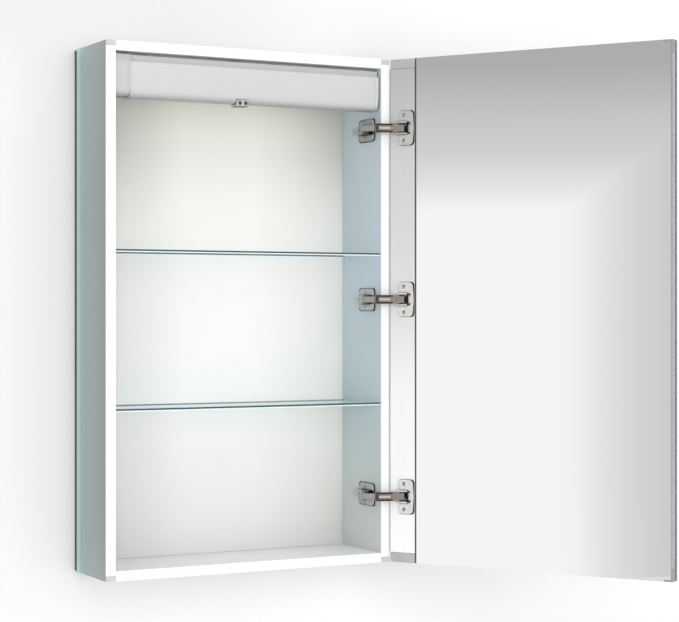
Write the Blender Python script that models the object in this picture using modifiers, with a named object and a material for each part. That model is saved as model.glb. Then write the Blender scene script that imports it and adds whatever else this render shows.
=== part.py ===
"""Surface-mounted bathroom medicine cabinet with a mirrored door, modelled with the door open.

Metres, +Z up. The cabinet's back lies on the plane Y = 0, its front faces -Y, and the origin is the
centre of the back. The door and the hinge links are built closed and turned about their own axes.
"""

import math

import bmesh
import bpy
from mathutils import Matrix

# Cabinet body
WIDTH = 0.457
HEIGHT = 0.762
DEPTH = 0.127
FRAME = 0.014  # width of the white front frame
GAP = 0.0003  # clearance between pieces that touch
SKIN = 0.0016  # wall of the hollow aluminium profiles
FLANGE = 0.003  # front flange that covers the side mirror's edge
SIDE_GLASS = 0.004
MIRROR_BEVEL = 0.0065
CORNER_BLOCK = 0.0075
BACK = 0.004
INNER_X = WIDTH / 2 - FRAME
INNER_Z = HEIGHT / 2 - FRAME
TOP_Z = HEIGHT / 2

# Glass shelves
SHELF_GLASS = 0.004
SHELF_TOPS = {"upper": 0.087, "lower": -0.139}
SHELF_FRONT = -0.1262
SHELF_BACK = -0.0065
SHELF_X = INNER_X - 0.0005
PEG_RADIUS = 0.0015
PEG_REACH = 0.005
PEG_Y = (-0.098, -0.025)

# Lamp behind the valance
VALANCE_FRONT = -0.124
VALANCE_BACK = -0.101
VALANCE_TOP = 0.3625
VALANCE_BOTTOM = 0.3022
LIP_HEIGHT = 0.009
LIP_STEP = 0.005
VALANCE_ROUND = 0.008
SHEET = 0.0016
VALANCE_LEFT = -0.1915
VALANCE_RIGHT = 0.2050
CAP_RIGHT = 0.2115
LEFT_CAP_FRONT = -0.1236
LEFT_CAP_BOTTOM = 0.3050

# Hinge hardware, heights of the three hinges above the cabinet's middle
HINGE_Z = {"top": 0.276, "middle": 0.017, "bottom": -0.281}
PIN_RADIUS = 0.0015
PIN_HOLE = 0.0020
PIN_REACH = 0.0071
PLATE = 0.0025
PLATE_REAR = -0.059
PLATE_FRONT = -0.108
PLATE_HALF_HEIGHT = 0.017
CRANK_HALF = 0.0045
CHEEK_INNER = 0.0048
CHEEK_OUTER = 0.0065
LINK_LENGTH = 0.039
LINK_ANGLE = math.radians(-24)
LEVER_PIVOT = (0.2090, -0.0735)

# Door
OPENING_ANGLE = math.radians(122.5)
DOOR_WIDTH = 0.447
DOOR_HALF_HEIGHT = 0.3806
DOOR_GAP = 0.0025  # between the frame and the closed door
DOOR_EDGE_X = 0.225  # hinge edge of the closed door
PANE = 0.004
DOOR_THICKNESS = 0.016
STILE_WIDTH = 0.0415
STILE_CAP = 0.015
EDGE_STRIP = 0.0024
PROTECTOR_LENGTH = 0.013
PROTECTOR_HEIGHT = 0.0175
PROTECTOR_LEG = 0.0024
CUP_LEFT = 0.0147  # distances from the hinge edge: the cup's body
CUP_RIGHT = 0.0390
CUP_HALF_HEIGHT = 0.013
CUP_DEPTH = 0.0108
CUP_FLANGE = 0.0012
FLANGE_LEFT = 0.0140
FLANGE_RIGHT = 0.0405
FLANGE_HALF_HEIGHT = 0.026
POCKET_HALF = 0.0070
POCKET_RIGHT = 0.0350
CUP_PIN = (0.0203, 0.0015)  # distance from the hinge edge, depth below the inner face


def hinge_points():
    """Plan positions of the door's axis, the crank's fixed pin and the crank's open outer pin."""
    closed = (DOOR_EDGE_X, -DEPTH - DOOR_GAP)
    opened = (WIDTH / 2 + 0.0001, -DEPTH - 0.003)
    dx = opened[0] - closed[0]
    dy = opened[1] - closed[1]
    lever = 1 / (2 * math.tan(OPENING_ANGLE / 2))
    axis = ((closed[0] + opened[0]) / 2 - dy * lever, (closed[1] + opened[1]) / 2 + dx * lever)
    pin_x = closed[0] - CUP_PIN[0] - axis[0]
    pin_y = closed[1] - CUP_PIN[1] - axis[1]
    radius = math.hypot(pin_x, pin_y)
    angle = math.atan2(pin_y, pin_x) + OPENING_ANGLE
    link = (LINK_LENGTH * math.cos(LINK_ANGLE), LINK_LENGTH * math.sin(LINK_ANGLE))
    fixed = (axis[0] - link[0], axis[1] - link[1])
    outer = (fixed[0] + radius * math.cos(angle), fixed[1] + radius * math.sin(angle))
    return axis, fixed, outer, radius, angle


DOOR_AXIS, CRANK_PIN, LINK_PIN, CRANK_LENGTH, CRANK_ANGLE = hinge_points()

MATERIALS = {
    # name: colour, roughness, metallic
    "white_aluminium": ((0.86, 0.87, 0.87), 0.35, 0.0),
    "corner_plastic": ((0.60, 0.59, 0.58), 0.45, 0.0),
    "side_mirror": ((0.55, 0.60, 0.61), 0.05, 1.0),
    "back_white": ((0.84, 0.84, 0.81), 0.50, 0.0),
    "inner_side": ((0.45, 0.52, 0.57), 0.35, 0.1),
    "shelf_glass": ((0.62, 0.86, 0.88), 0.05, 0.0),
    "clear_plastic": ((0.80, 0.84, 0.86), 0.20, 0.0),
    "nickel": ((0.55, 0.54, 0.52), 0.22, 1.0),
    "bronze_nickel": ((0.42, 0.34, 0.29), 0.25, 1.0),
    "zinc_steel": ((0.60, 0.61, 0.62), 0.35, 1.0),
    "satin_aluminium": ((0.72, 0.72, 0.73), 0.35, 1.0),
    "mirror": ((0.90, 0.91, 0.91), 0.02, 1.0),
    "door_core": ((0.70, 0.70, 0.70), 0.60, 0.0),
    "grey_plastic": ((0.42, 0.42, 0.43), 0.45, 0.0),
    "lamp_white": ((0.74, 0.75, 0.75), 0.30, 0.0),
    "diffuser": ((0.90, 0.90, 0.87), 0.50, 0.0),
    "black_rubber": ((0.03, 0.03, 0.03), 0.70, 0.0),
    "dark_lens": ((0.05, 0.05, 0.05), 0.10, 0.0),
}


def clear_scene():
    for obj in list(bpy.data.objects):
        bpy.data.objects.remove(obj, do_unlink=True)


def make_collection(name):
    collection = bpy.data.collections.new(name)
    bpy.context.scene.collection.children.link(collection)
    return collection


def make_materials():
    made = {}
    for name, (colour, roughness, metallic) in MATERIALS.items():
        material = bpy.data.materials.new(name)
        material.use_nodes = True
        shader = material.node_tree.nodes["Principled BSDF"]
        shader.inputs["Base Color"].default_value = (*colour, 1)
        shader.inputs["Roughness"].default_value = roughness
        shader.inputs["Metallic"].default_value = metallic
        made[name] = material
    return made


clear_scene()
PARTS = make_collection("medicine_cabinet")
CUTTERS = make_collection("cutters")
LOOKS = make_materials()


def add_object(name, mesh, look=None, parent=None):
    """Puts a mesh in the parts collection, or in the cutters collection if it has no look."""
    obj = bpy.data.objects.new(name, mesh)
    if look:
        PARTS.objects.link(obj)
        mesh.materials.clear()
        mesh.materials.append(LOOKS[look])
    else:
        CUTTERS.objects.link(obj)
        obj.hide_render = True
        obj.display_type = "WIRE"
    obj.parent = parent
    return obj


def mesh_from(bm, name):
    mesh = bpy.data.meshes.new(name)
    bm.to_mesh(mesh)
    bm.free()
    return mesh


def box(name, low, high, look=None, parent=None):
    """A box between two corners, with its origin at its middle."""
    size = [b - a for a, b in zip(low, high)]
    bm = bmesh.new()
    bmesh.ops.create_cube(bm, size=1)
    bmesh.ops.scale(bm, vec=size, verts=bm.verts)
    obj = add_object(name, mesh_from(bm, name), look, parent)
    obj.location = [(a + b) / 2 for a, b in zip(low, high)]
    return obj


AXIS_TURNS = {
    "X": Matrix.Rotation(math.pi / 2, 4, "Y"),
    "Y": Matrix.Rotation(math.pi / 2, 4, "X"),
    "Z": Matrix.Identity(4),
}


def rod(name, centre, radius, length, axis, look=None, parent=None, sides=24):
    """A cylinder along one axis, with its origin at its middle."""
    bm = bmesh.new()
    bmesh.ops.create_cone(bm, cap_ends=True, segments=sides, radius1=radius, radius2=radius, depth=length)
    bmesh.ops.transform(bm, matrix=AXIS_TURNS[axis], verts=bm.verts)
    obj = add_object(name, mesh_from(bm, name), look, parent)
    obj.location = centre
    smooth(obj)
    return obj


def smooth(obj):
    obj.data.shade_smooth()
    obj.data.set_sharp_from_angle(angle=math.radians(35))


PLANES = {
    # Turns an outline's (a, b, thickness) into the named plane's axes.
    "XY": Matrix.Identity(4),
    "YZ": Matrix(((0, 0, 1, 0), (1, 0, 0, 0), (0, 1, 0, 0), (0, 0, 0, 1))),
}


def outline(name, points, start, end, plane, look=None, parent=None):
    """A flat outline extruded between two heights across its plane, as a closed mesh."""
    curve = bpy.data.curves.new(name + "_outline", "CURVE")
    curve.dimensions = "2D"
    curve.fill_mode = "BOTH"
    curve.extrude = (end - start) / 2
    spline = curve.splines.new("POLY")
    spline.points.add(len(points) - 1)
    for point, (a, b) in zip(spline.points, points):
        point.co = (a, b, 0, 1)
    spline.use_cyclic_u = True
    guide = bpy.data.objects.new(name + "_guide", curve)
    bpy.context.scene.collection.objects.link(guide)
    bpy.context.view_layer.update()
    graph = bpy.context.evaluated_depsgraph_get()
    mesh = bpy.data.meshes.new_from_object(guide.evaluated_get(graph))
    bpy.data.objects.remove(guide, do_unlink=True)
    bm = bmesh.new()
    bm.from_mesh(mesh)
    bmesh.ops.remove_doubles(bm, verts=bm.verts, dist=1e-6)
    bmesh.ops.dissolve_limit(bm, angle_limit=0.001, verts=bm.verts, edges=bm.edges)
    bmesh.ops.translate(bm, vec=(0, 0, (start + end) / 2), verts=bm.verts)
    bmesh.ops.transform(bm, matrix=PLANES[plane], verts=bm.verts)
    bmesh.ops.recalc_face_normals(bm, faces=bm.faces)
    bm.to_mesh(mesh)
    bm.free()
    return add_object(name, mesh, look, parent)


def arc(centre, radius, start_deg, end_deg, steps=6):
    """Points along an arc, both ends included."""
    points = []
    for index in range(steps + 1):
        angle = math.radians(start_deg + (end_deg - start_deg) * index / steps)
        points.append((centre[0] + radius * math.cos(angle), centre[1] + radius * math.sin(angle)))
    return points


def combine(target, others, operation):
    for other in others:
        modifier = target.modifiers.new(operation.lower(), "BOOLEAN")
        modifier.operation = operation
        modifier.solver = "EXACT"
        modifier.object = other


def cut(target, *cutters):
    combine(target, cutters, "DIFFERENCE")


def join(target, *pieces):
    combine(target, pieces, "UNION")


def round_edges(obj, width, segments=2):
    modifier = obj.modifiers.new("rounded_edges", "BEVEL")
    modifier.width = width
    modifier.segments = segments
    modifier.limit_method = "ANGLE"
    modifier.angle_limit = math.radians(40)


def empty(name, location, turn=0.0, parent=None):
    obj = bpy.data.objects.new(name, None)
    PARTS.objects.link(obj)
    obj.empty_display_size = 0.02
    obj.location = location
    obj.rotation_euler.z = turn
    obj.parent = parent
    return obj


# ---------------------------------------------------------------- cabinet body


def side_section(side):
    """Plan outline of a side profile: a 10 mm body with a wider flange at the front."""
    inner = side * INNER_X
    body = side * (WIDTH / 2 - SIDE_GLASS - GAP)
    outer = side * WIDTH / 2
    back_of_flange = -DEPTH + FLANGE
    return [
        (inner, 0),
        (inner, -DEPTH),
        (outer, -DEPTH),
        (outer, back_of_flange),
        (body, back_of_flange),
        (body, 0),
    ]


def chamber_limits(side, clearance=0.0):
    """Plan rectangles of the two hollow chambers in a side profile, shrunk by a clearance."""
    edges = sorted((side * (INNER_X + SKIN), side * (WIDTH / 2 - SIDE_GLASS - GAP - SKIN)))
    x_low, x_high = edges[0] + clearance, edges[1] - clearance
    middle = -DEPTH / 2
    limits = []
    for y_low, y_high in ((-DEPTH + FLANGE, middle - SKIN / 2), (middle + SKIN / 2, -SKIN)):
        limits.append((x_low, y_low + clearance, x_high, y_high - clearance))
    return limits


def add_side_profile(name, side):
    reach = TOP_Z - CORNER_BLOCK - GAP
    profile = outline(f"side_profile_{name}", side_section(side), -reach, reach, "XY", "white_aluminium")
    for index, (x_low, y_low, x_high, y_high) in enumerate(chamber_limits(side)):
        chamber = box(f"chamber_{name}_{index}", (x_low, y_low, -TOP_Z), (x_high, y_high, TOP_Z))
        cut(profile, chamber)
    for shelf, top in SHELF_TOPS.items():
        for index, peg_y in enumerate(PEG_Y):
            place = (side * INNER_X, peg_y, peg_height(top))
            cut(profile, rod(f"peg_hole_{name}_{shelf}_{index}", place, PEG_RADIUS + GAP, 2.2 * SKIN, "X"))


def add_corner_block(name, side, level, up):
    """Moulded end cap of a side profile, with two plugs that enter its chambers."""
    low, high = sorted((up * (TOP_Z - CORNER_BLOCK), up * TOP_Z))
    block = outline(f"corner_block_{level}_{name}", side_section(side), low, high, "XY", "corner_plastic")
    plug_low, plug_high = sorted((up * (TOP_Z - CORNER_BLOCK - 0.012), up * (TOP_Z - 0.002)))
    for index, (x_low, y_low, x_high, y_high) in enumerate(chamber_limits(side, GAP)):
        plug = box(f"plug_{level}_{name}_{index}", (x_low, y_low, plug_low), (x_high, y_high, plug_high))
        join(block, plug)


def add_cross_panel(name, up):
    """Hollow top or bottom profile between the two sides."""
    reach = INNER_X - GAP
    low, high = sorted((up * INNER_Z, up * TOP_Z))
    panel = box(f"{name}_panel", (-reach, -DEPTH, low), (reach, 0, high), "white_aluminium")
    middle = -DEPTH / 2
    for index, (y_low, y_high) in enumerate(((-DEPTH + SKIN, middle - SKIN / 2), (middle + SKIN / 2, -SKIN))):
        hollow = box(
            f"hollow_{name}_{index}",
            (-WIDTH / 2, y_low, low + SKIN),
            (WIDTH / 2, y_high, high - SKIN),
        )
        cut(panel, hollow)


HANGER_X = 0.160
HANGER_Z = 0.339
GROMMET_X = -0.095
GROMMET_RADIUS = 0.009


def add_back_panel():
    reach_x = INNER_X - GAP
    reach_z = INNER_Z - GAP
    panel = box("back_panel", (-reach_x, -BACK, -reach_z), (reach_x, 0, reach_z), "back_white")
    for name, side in (("left", -1), ("right", 1)):
        low = (side * HANGER_X - 0.009, -0.02, HANGER_Z - 0.014)
        high = (side * HANGER_X + 0.009, 0.02, HANGER_Z + 0.014)
        cut(panel, box(f"hanger_window_{name}", low, high))
    cut(panel, rod("cable_hole", (GROMMET_X, 0, HANGER_Z), GROMMET_RADIUS, 0.03, "Y"))


def add_hanger_plate(name, side):
    """Steel plate inside the back with a keyhole for a wall screw."""
    x = side * HANGER_X
    low = (x - 0.022, -BACK - GAP - 0.002, HANGER_Z - 0.023)
    high = (x + 0.022, -BACK - GAP, HANGER_Z + 0.023)
    plate = box(f"hanger_plate_{name}", low, high, "zinc_steel")
    cut(plate, rod(f"keyhole_{name}", (x, -BACK, HANGER_Z - 0.006), 0.005, 0.02, "Y"))
    cut(plate, box(f"keyslot_{name}", (x - 0.0027, -0.02, HANGER_Z - 0.006), (x + 0.0027, 0.02, HANGER_Z + 0.011)))


def turned(name, profile, location, axis, look, sides=24):
    """A profile of (radius, height) points, outer side first from top to bottom, turned with Screw."""
    mesh = bpy.data.meshes.new(name)
    points = [(radius, 0, height) for radius, height in profile]
    edges = [(index, (index + 1) % len(points)) for index in range(len(points))]
    mesh.from_pydata(points, edges, [])
    obj = add_object(name, mesh, look)
    screw = obj.modifiers.new("turned", "SCREW")
    screw.steps = sides
    screw.render_steps = sides
    screw.use_merge_vertices = True
    screw.merge_threshold = 0.00001
    obj.location = location
    obj.rotation_euler = AXIS_TURNS[axis].to_euler()
    return obj


def add_cable_grommet():
    """Rubber grommet that lines the hole for the mains cable."""
    flange = 0.012
    neck = GROMMET_RADIUS - GAP
    hole = 0.0045
    inside = BACK + GAP
    profile = [
        (flange, inside + 0.002),
        (flange, inside),
        (neck, inside),
        (neck, GAP),
        (hole, GAP),
        (hole, inside + 0.002),
    ]
    turned("cable_grommet", profile, (GROMMET_X, 0, HANGER_Z), "Y", "black_rubber")


def add_side_mirror(name, side):
    """Mirror pane with a bevelled border along its rear edge."""
    inner = side * (WIDTH / 2 - SIDE_GLASS)
    outer = side * WIDTH / 2
    front = -DEPTH + FLANGE + GAP
    rear = -0.0005
    section = [
        (inner, rear),
        (inner, front),
        (outer, front),
        (outer, rear - MIRROR_BEVEL),
        (outer - side * 0.0014, rear),
    ]
    outline(f"side_mirror_{name}", section, -TOP_Z, TOP_Z, "XY", "side_mirror")


def add_body():
    for name, side in (("left", -1), ("right", 1)):
        add_side_profile(name, side)
        add_side_mirror(name, side)
        add_hanger_plate(name, side)
        add_corner_block(name, side, "top", 1)
        add_corner_block(name, side, "bottom", -1)
    add_cross_panel("top", 1)
    add_cross_panel("bottom", -1)
    add_back_panel()
    add_cable_grommet()


# ---------------------------------------------------------------- shelves


def peg_height(shelf_top):
    return shelf_top - SHELF_GLASS - GAP - PEG_RADIUS


def add_shelves():
    for shelf, top in SHELF_TOPS.items():
        low = (-SHELF_X, SHELF_FRONT, top - SHELF_GLASS)
        high = (SHELF_X, SHELF_BACK, top)
        glass = box(f"shelf_{shelf}", low, high, "shelf_glass")
        round_edges(glass, 0.0005, 1)
        for side_name, side in (("left", -1), ("right", 1)):
            for depth_name, peg_y in zip(("front", "rear"), PEG_Y):
                add_peg(f"peg_{shelf}_{side_name}_{depth_name}", side, peg_y, peg_height(top))


def add_peg(name, side, y, z):
    """Turned peg: a shank in the profile's wall, a collar against it and a nose under the glass."""
    profile = [
        (PEG_RADIUS, 0.005),
        (PEG_RADIUS, -GAP),
        (PEG_RADIUS + 0.0002, -GAP - 0.001),
        (PEG_RADIUS, -GAP - 0.002),
        (PEG_RADIUS, -PEG_REACH + 0.0006),
        (PEG_RADIUS - 0.0006, -PEG_REACH),
        (0, -PEG_REACH),
        (0, 0.005),
    ]
    peg = turned(name, profile, (side * INNER_X, y, z), "X", "clear_plastic", sides=16)
    if side < 0:
        peg.rotation_euler.y = -math.pi / 2


# ---------------------------------------------------------------- lamp


def valance_front_line():
    """Section of the valance's outer face from the top flange to the lower lip, as (Y, Z) points."""
    lip = VALANCE_FRONT + LIP_STEP
    step = VALANCE_TOP - LIP_HEIGHT
    centre = (VALANCE_FRONT + VALANCE_ROUND, VALANCE_BOTTOM + VALANCE_ROUND)
    line = [(VALANCE_BACK, VALANCE_TOP), (lip, VALANCE_TOP), (lip, step), (VALANCE_FRONT, step)]
    line += arc(centre, VALANCE_ROUND, 180, 270)
    line.append((VALANCE_BACK, VALANCE_BOTTOM))
    return line


def add_valance():
    """Bent sheet that hides the lamp: the section swept along X and given its thickness."""
    bm = bmesh.new()
    line = [bm.verts.new((VALANCE_LEFT + GAP, y, z)) for y, z in valance_front_line()]
    edges = [bm.edges.new(pair) for pair in zip(line, line[1:])]
    swept = bmesh.ops.extrude_edge_only(bm, edges=edges)
    moved = [item for item in swept["geom"] if isinstance(item, bmesh.types.BMVert)]
    bmesh.ops.translate(bm, vec=(VALANCE_RIGHT - VALANCE_LEFT - 2 * GAP, 0, 0), verts=moved)
    valance = add_object("light_valance", mesh_from(bm, "light_valance"), "lamp_white")
    sheet = valance.modifiers.new("sheet", "SOLIDIFY")
    sheet.thickness = SHEET
    sheet.offset = 1
    sheet.use_even_offset = True
    cut(valance, eyes_notch())
    smooth(valance)


def left_cap_line():
    """Section of the plain left end, which stands a little behind the valance's face."""
    centre = (LEFT_CAP_FRONT + VALANCE_ROUND, LEFT_CAP_BOTTOM + VALANCE_ROUND)
    line = [(VALANCE_BACK, VALANCE_TOP), (LEFT_CAP_FRONT, VALANCE_TOP)]
    line += arc(centre, VALANCE_ROUND, 180, 270)
    line.append((VALANCE_BACK, LEFT_CAP_BOTTOM))
    return line


def add_valance_cap(name, line, start, end, outer):
    """Moulded end of the valance, rounded along the lower half of its outer end."""
    cap = outline(f"valance_cap_{name}", line, start, end, "YZ", "lamp_white")
    bm = bmesh.new()
    bm.from_mesh(cap.data)
    middle = (VALANCE_TOP + VALANCE_BOTTOM) / 2
    rim = [
        edge
        for edge in bm.edges
        if all(abs(vert.co.x - outer) < 1e-5 and vert.co.z < middle for vert in edge.verts)
    ]
    bmesh.ops.bevel(bm, geom=rim, offset=0.003, segments=3, affect="EDGES", profile=0.5)
    bm.to_mesh(cap.data)
    bm.free()
    smooth(cap)


LIGHT_BAR_Y = (-0.074, -0.046)
LIGHT_BAR_REACH = 0.190
LIGHT_BAR_BOTTOM = 0.334


def add_light_bar():
    """Aluminium channel under the top panel, open downwards and closed by the diffuser."""
    y_low, y_high = LIGHT_BAR_Y
    roof = INNER_Z - GAP
    bar = box(
        "light_bar",
        (-LIGHT_BAR_REACH, y_low, LIGHT_BAR_BOTTOM),
        (LIGHT_BAR_REACH, y_high, roof),
        "satin_aluminium",
    )
    channel = box(
        "light_bar_channel",
        (-LIGHT_BAR_REACH - 0.01, y_low + 0.002, LIGHT_BAR_BOTTOM - 0.01),
        (LIGHT_BAR_REACH + 0.01, y_high - 0.002, roof - 0.004),
    )
    cut(bar, channel)
    diffuser = box(
        "light_diffuser",
        (-LIGHT_BAR_REACH, y_low + 0.002 + GAP, LIGHT_BAR_BOTTOM - 0.001),
        (LIGHT_BAR_REACH, y_high - 0.002 - GAP, LIGHT_BAR_BOTTOM + 0.003),
        "diffuser",
    )
    round_edges(diffuser, 0.0008, 1)


def add_lamp_driver():
    driver = box("lamp_driver", (0.04, -0.042, 0.343), (0.13, -0.012, INNER_Z - GAP), "grey_plastic")
    round_edges(driver, 0.0015, 2)


EYES_X = -0.016
EYES_LOW = (EYES_X - 0.0095, -0.1250, 0.2972)
EYES_HIGH = (EYES_X + 0.0095, -0.1050, 0.3082)
EYE_OFFSET = 0.0046
EYE_RADIUS = 0.0030


def add_downlight():
    """Small chrome head with two lenses, set in a notch of the valance's lower edge."""
    head = box("downlight_housing", EYES_LOW, EYES_HIGH, "nickel")
    round_edges(head, 0.0020, 2)
    foot = box("downlight_foot", (EYES_X - 0.006, -0.1080, 0.2992), (EYES_X + 0.006, -0.0945, 0.3030), None)
    post = box("downlight_post", (EYES_X - 0.006, -0.0995, 0.2998), (EYES_X + 0.006, -0.0945, 0.3580), None)
    rear = LIGHT_BAR_Y[0] - GAP
    tab = box("downlight_tab", (EYES_X - 0.006, -0.0960, 0.3530), (EYES_X + 0.006, rear, 0.3580), None)
    join(head, foot, post, tab)
    middle = (EYES_LOW[2] + EYES_HIGH[2]) / 2
    for name, side in (("left", -1), ("right", 1)):
        place = (EYES_X + side * EYE_OFFSET, EYES_LOW[1], middle)
        cut(head, rod(f"lens_pocket_{name}", place, EYE_RADIUS, 0.005, "Y"))
        lens_place = (EYES_X + side * EYE_OFFSET, EYES_LOW[1] + 0.0008, middle)
        rod(f"downlight_lens_{name}", lens_place, EYE_RADIUS - GAP, 0.002, "Y", "dark_lens", sides=16)


def eyes_notch():
    low = (EYES_LOW[0] - GAP, EYES_LOW[1] - 0.01, EYES_LOW[2] - 0.01)
    high = (EYES_HIGH[0] + GAP, VALANCE_BACK + 0.001, EYES_HIGH[2] + GAP)
    return box("eyes_notch", low, high)


def add_lamp():
    add_valance()
    add_valance_cap("left", left_cap_line(), -INNER_X + GAP, VALANCE_LEFT, -INNER_X + GAP)
    add_valance_cap("right", valance_front_line(), VALANCE_RIGHT, CAP_RIGHT, CAP_RIGHT)
    add_light_bar()
    add_lamp_driver()
    add_downlight()


# ---------------------------------------------------------------- hinges


def plate_section():
    """Mounting plate on the side wall as (Y, Z) points: its rear corners are cut back."""
    tall = PLATE_HALF_HEIGHT
    return [
        (PLATE_FRONT, -tall + 0.003),
        (PLATE_FRONT + 0.003, -tall),
        (PLATE_REAR - 0.009, -tall),
        (PLATE_REAR, -tall + 0.0075),
        (PLATE_REAR, tall - 0.0075),
        (PLATE_REAR - 0.009, tall),
        (PLATE_FRONT + 0.003, tall),
        (PLATE_FRONT, tall - 0.003),
    ]


def add_hinge_plate(level, height):
    """Plate on the side wall, with a rail that the arm clips over."""
    wall = INNER_X - GAP
    place = empty(f"plate_place_{level}", (0, 0, height))
    plate = outline(f"hinge_plate_{level}", plate_section(), wall - PLATE, wall, "YZ", "nickel", place)
    rail = box(f"plate_rail_{level}", (0.2072, -0.0980, -0.0042), (0.2125, -0.0800, 0.0042), None, place)
    join(plate, rail)
    round_edges(plate, 0.0005, 1)


def arm_section():
    """Plan of the fixed arm: low at the rear, rising towards the crank's pin."""
    tip = arc(CRANK_PIN, 0.0036, 190, 330, 6)
    rear = [(0.2114, -0.0700), (0.2047, -0.0700), (0.2030, -0.0860), (0.1955, -0.1010)]
    return rear + tip + [(0.2010, -0.1065), (0.2114, -0.0985)]


def add_hinge_arm(level, height):
    """Fixed arm: a channel open to the wall at the rear and a fork round the crank at the front."""
    place = empty(f"arm_place_{level}", (0, 0, height))
    arm = outline(f"hinge_arm_{level}", arm_section(), -CHEEK_OUTER, CHEEK_OUTER, "XY", "nickel", place)
    inner = CHEEK_INNER
    channel = box(f"arm_channel_{level}", (0.2064, -0.1150, -inner), (0.2200, -0.0600, inner), None, place)
    fork = box(f"arm_fork_{level}", (0.1800, -0.1250, -inner), (0.2100, -0.1035, inner), None, place)
    pin_place = (CRANK_PIN[0], CRANK_PIN[1], 0)
    hole = rod(f"arm_pin_hole_{level}", pin_place, PIN_HOLE, 0.03, "Z", None, place, sides=16)
    lever_place = (LEVER_PIVOT[0], LEVER_PIVOT[1], 0)
    lever_hole = rod(f"arm_lever_hole_{level}", lever_place, LEVER_HOLE, 0.03, "Z", None, place, sides=16)
    cut(arm, channel, fork, hole, lever_hole)
    round_edges(arm, 0.0004, 1)


LEVER_PIN = 0.0011
LEVER_HOLE = 0.0015


def add_clip_lever(level, height):
    """Rear lever that frees the arm from its plate, built round its pivot."""
    place = empty(f"lever_axis_{level}", (LEVER_PIVOT[0], LEVER_PIVOT[1], height))
    body = arc((0, 0), 0.0018, 170, 370, 8) + [(-0.0010, 0.0190), (-0.0045, 0.0190)]
    lever = outline(f"clip_lever_{level}", body, -0.0045, 0.0045, "XY", "zinc_steel", place)
    pin = rod(f"lever_pin_{level}", (0, 0, 0), LEVER_PIN, 2 * CHEEK_OUTER, "Z", None, place, sides=12)
    join(lever, pin)


def add_crank(level, height):
    """Short link from the arm to the channel link, with a pin at each end."""
    place = empty(f"crank_axis_{level}", (CRANK_PIN[0], CRANK_PIN[1], height), CRANK_ANGLE)
    body = arc((0, 0), 0.0034, 90, 270, 8) + arc((CRANK_LENGTH, 0), 0.0026, -90, 90, 8)
    crank = outline(f"hinge_crank_{level}", body, -CRANK_HALF, CRANK_HALF, "XY", "nickel", place)
    for index, along in enumerate((0, CRANK_LENGTH)):
        pin = rod(f"crank_pin_{level}_{index}", (along, 0, 0), PIN_RADIUS, 2 * PIN_REACH, "Z", None, place, sides=16)
        join(crank, pin)


LINK_WIDE_END = 0.0290
LINK_SLOT_END = 0.0190
LINK_BACK_START = 0.0044  # depth of the channel's web at the crank end
LINK_BACK_END = 0.0017  # and at the cup end
LINK_WEB = 0.0014
TONGUE_HALF = 0.0052
TONGUE_TOP = 0.0013
CUP_PIN_REACH = 0.0084


def web_depth(along):
    return LINK_BACK_START + (LINK_BACK_END - LINK_BACK_START) * along / LINK_LENGTH


def add_channel_link(level, height):
    """Long channel link: a wide channel round the crank, then a narrow tongue that enters the cup."""
    place = empty(f"link_axis_{level}", (LINK_PIN[0], LINK_PIN[1], height), LINK_ANGLE)
    rear = -0.0038
    top = 0.0032
    wide = [(rear, -0.0028), (-0.0018, -web_depth(0)), (LINK_WIDE_END, -web_depth(LINK_WIDE_END))]
    wide += [(LINK_WIDE_END, 0.0010), (LINK_SLOT_END + 0.003, top), (-0.0015, top), (rear, 0.0010)]
    link = outline(f"hinge_link_{level}", wide, -CHEEK_OUTER, CHEEK_OUTER, "XY", "bronze_nickel", place)
    depths = [(x, LINK_WEB - web_depth(x)) for x in (-0.01, LINK_SLOT_END)]
    slot_section = depths + [(LINK_SLOT_END, 0.01), (-0.01, 0.01)]
    slot = outline(f"link_slot_{level}", slot_section, -CHEEK_INNER, CHEEK_INNER, "XY", None, place)
    hole = rod(f"link_pin_hole_{level}", (0, 0, 0), PIN_HOLE, 0.03, "Z", None, place, sides=16)
    cut(link, slot, hole)
    start = LINK_WIDE_END - 0.003
    section = [(start, -web_depth(start) + 0.0002), (LINK_LENGTH - 0.001, -LINK_BACK_END)]
    section += arc((LINK_LENGTH, 0), 0.0024, -45, 100, 6) + [(LINK_LENGTH - 0.004, TONGUE_TOP)]
    section += [(start, TONGUE_TOP - 0.0005)]
    tongue = outline(f"link_tongue_{level}", section, -TONGUE_HALF, TONGUE_HALF, "XY", None, place)
    pin_place = (LINK_LENGTH, 0, 0)
    pin = rod(f"cup_pin_{level}", pin_place, PIN_RADIUS, 2 * CUP_PIN_REACH, "Z", None, place, sides=16)
    join(link, tongue, pin)
    round_edges(link, 0.0004, 1)


def add_cabinet_hinges():
    for level, height in HINGE_Z.items():
        add_hinge_plate(level, height)
        add_hinge_arm(level, height)
        add_clip_lever(level, height)
        add_crank(level, height)
        add_channel_link(level, height)


# ---------------------------------------------------------------- door


def door_point(along, depth):
    """Closed-door position, relative to the door's axis, from the hinge edge and the inner face."""
    x = DOOR_EDGE_X - along - DOOR_AXIS[0]
    y = -DEPTH - DOOR_GAP - depth - DOOR_AXIS[1]
    return x, y


def door_box(name, along, depth, height, look, parent):
    """A box in the door: ranges along the door, into its thickness, and up."""
    x_high, y_high = door_point(along[0], depth[0])
    x_low, y_low = door_point(along[1], depth[1])
    return box(name, (x_low, y_low, height[0]), (x_high, y_high, height[1]), look, parent)


def outline_xz(name, points, start, end, look, parent):
    """An outline of (X, Z) points extruded along Y."""
    obj = outline(name, [(z, x) for x, z in points], start, end, "XY", look, parent)
    turn = Matrix(((0, 1, 0, 0), (0, 0, 1, 0), (1, 0, 0, 0), (0, 0, 0, 1)))
    obj.data.transform(turn)
    return obj


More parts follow.
